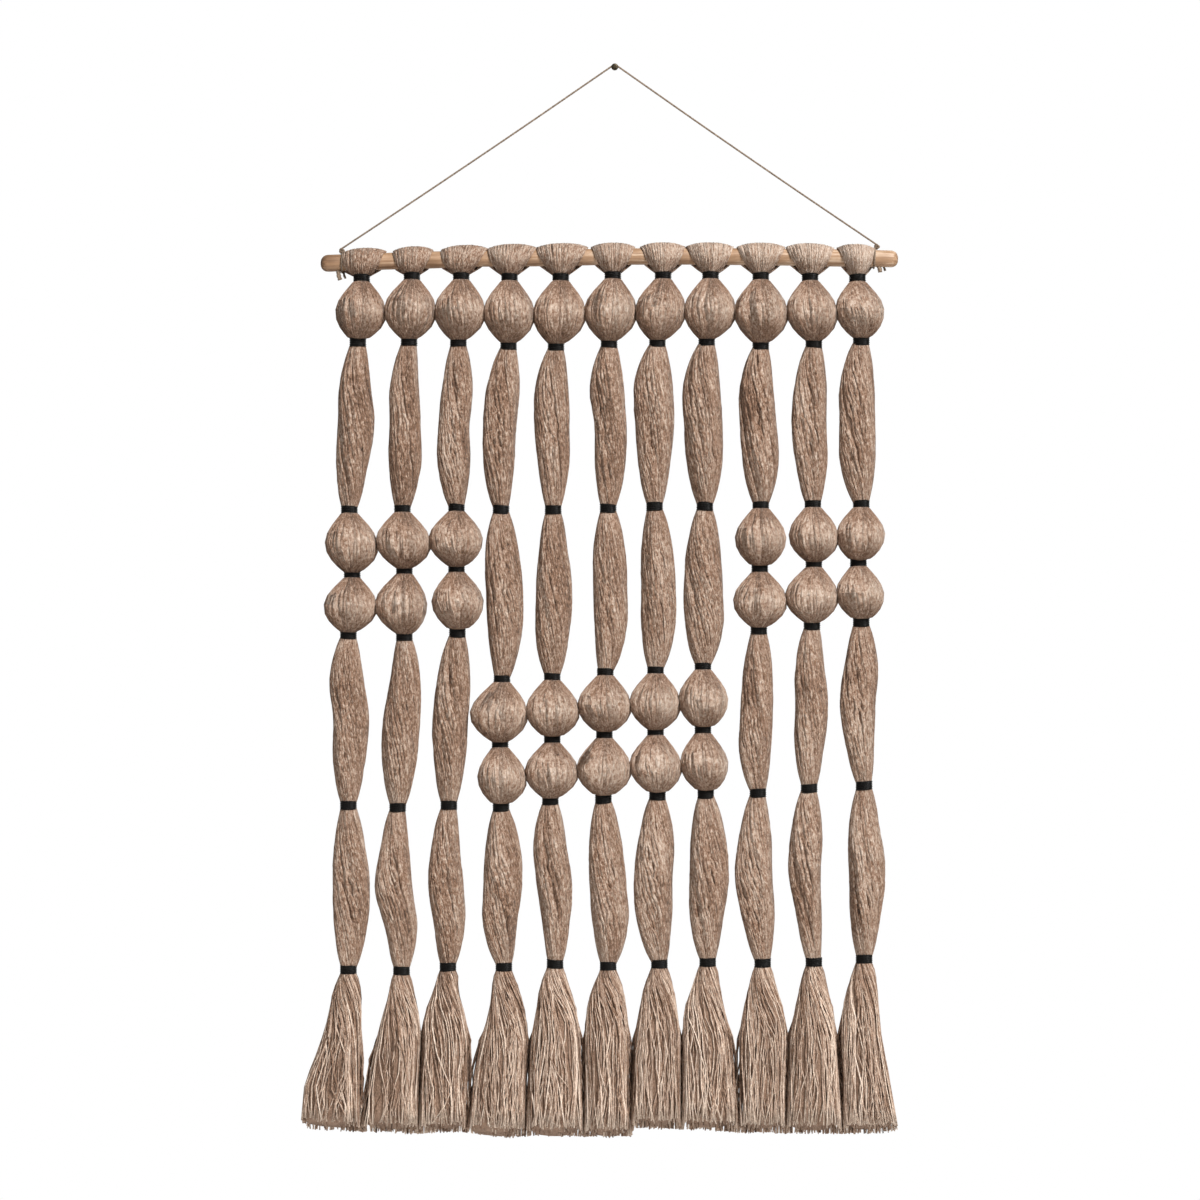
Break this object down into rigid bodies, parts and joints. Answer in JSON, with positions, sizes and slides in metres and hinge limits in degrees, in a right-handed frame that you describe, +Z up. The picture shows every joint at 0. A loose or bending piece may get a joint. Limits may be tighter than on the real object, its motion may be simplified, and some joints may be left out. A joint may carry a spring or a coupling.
{
  "type": "macrame wall hanging on a wooden rod",
  "caption": "Long bound hanks of jute yarn, tied into balls and slack lengths with tassels below, on a round wooden rod hung from a nail by twine.",
  "frame": {"origin": "centre of the nail's flat rear end, in the plane of the wall that the hanging lies against", "axes": "+Z up, +Y into the wall, +X to the right as seen from the front"},
  "size_m": [0.6295, 0.0507, 1.1309],
  "materials": {
    "jute": "natural jute yarn, matt and slightly hairy, with dark gaps between the strands",
    "cord": "black waxed cotton cord wound in close turns, a soft sheen",
    "wood": "pale sanded hardwood dowel, unvarnished",
    "steel": "dark bronzed steel nail",
    "twine": "two-ply jute twine, matt"
  },
  "bodies": {
    "root": {"rod": "wood", "nail": "steel", "hanger_twine": "twine", "knot_left": "twine", "knot_right": "twine", "hank_01": "jute", "hank_02": "jute", "hank_03": "jute", "hank_04": "jute", "hank_05": "jute", "hank_06": "jute", "hank_07": "jute", "hank_08": "jute", "hank_09": "jute", "hank_10": "jute", "hank_11": "jute", "tassel_01": "jute", "tassel_02": "jute", "tassel_03": "jute", "tassel_04": "jute", "tassel_05": "jute", "tassel_06": "jute", "tassel_07": "jute", "tassel_08": "jute", "tassel_09": "jute", "tassel_10": "jute", "tassel_11": "jute", "binding_01_1": "cord", "binding_01_2": "cord", "binding_01_7": "cord", "binding_02_1": "cord", "binding_02_2": "cord", "binding_02_7": "cord", "binding_03_1": "cord", "binding_03_2": "cord", "binding_03_7": "cord", "binding_04_1": "cord", "binding_04_2": "cord", "binding_04_7": "cord", "binding_05_1": "cord", "binding_05_2": "cord", "binding_05_7": "cord", "binding_06_1": "cord", "binding_06_2": "cord", "binding_06_7": "cord", "binding_07_1": "cord", "binding_07_2": "cord", "binding_07_7": "cord", "binding_08_1": "cord", "binding_08_2": "cord", "binding_08_7": "cord", "binding_09_1": "cord", "binding_09_2": "cord", "binding_09_7": "cord", "binding_10_1": "cord", "binding_10_2": "cord", "binding_10_7": "cord", "binding_11_1": "cord", "binding_11_2": "cord", "binding_11_7": "cord"}
  },
  "joints": []
}
